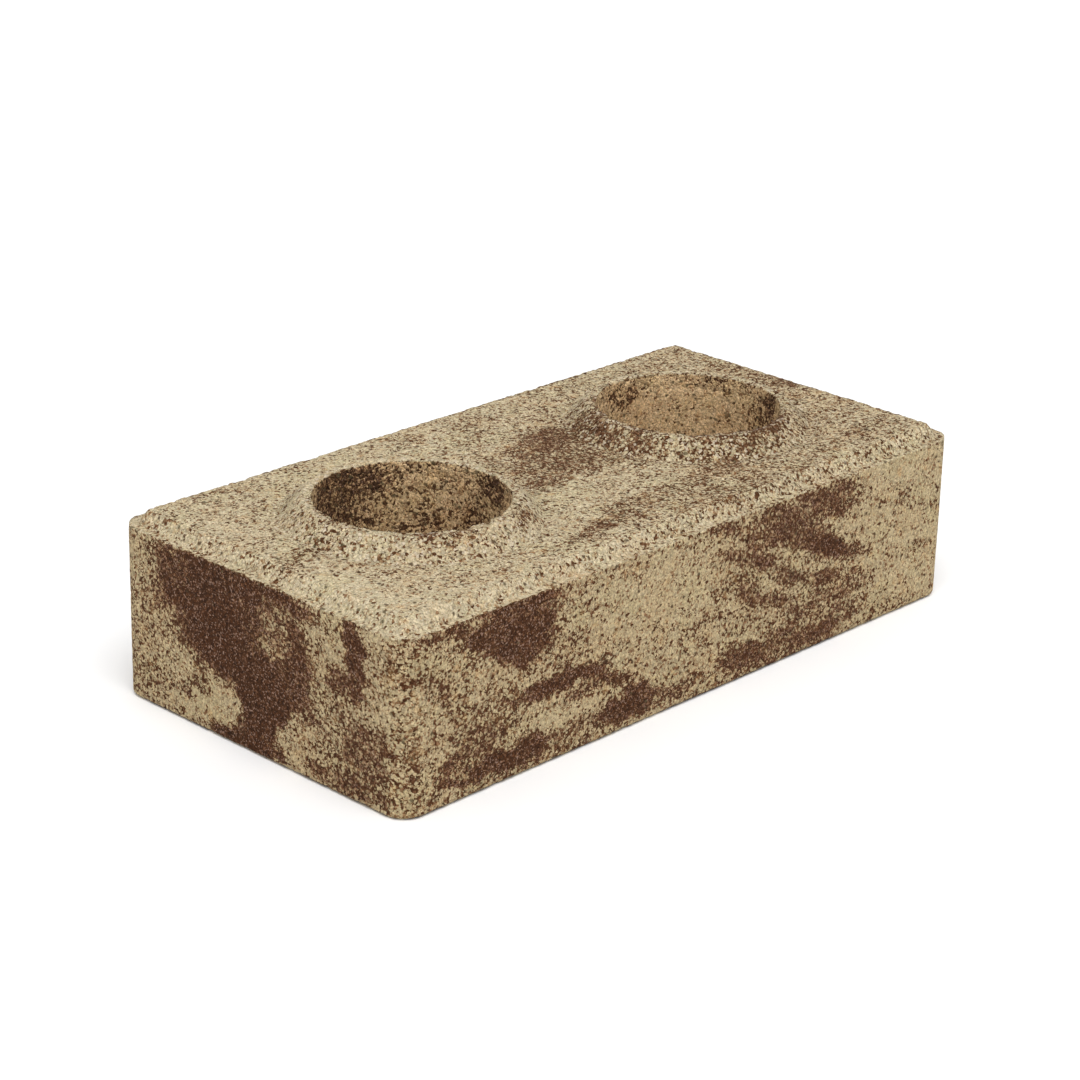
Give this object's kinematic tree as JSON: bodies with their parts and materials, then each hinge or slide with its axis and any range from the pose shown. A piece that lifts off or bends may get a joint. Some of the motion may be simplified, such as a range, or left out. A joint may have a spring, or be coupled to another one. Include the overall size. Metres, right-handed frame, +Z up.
{
  "type": "interlocking clay brick",
  "caption": "Pressed clay brick with round through holes, raised cone-sided collars on top and matching recesses in its bed face.",
  "frame": {"origin": "middle of the bed face, at floor level", "axes": "+X along the length, +Y across the width, +Z up through the holes, from the bed face to the collars"},
  "size_m": [0.25, 0.125, 0.066],
  "materials": {
    "mottled_clay": "unglazed pressed clay, cream and dark brown mottled, granular"
  },
  "bodies": {
    "root": {"brick": "mottled_clay"}
  },
  "joints": []
}
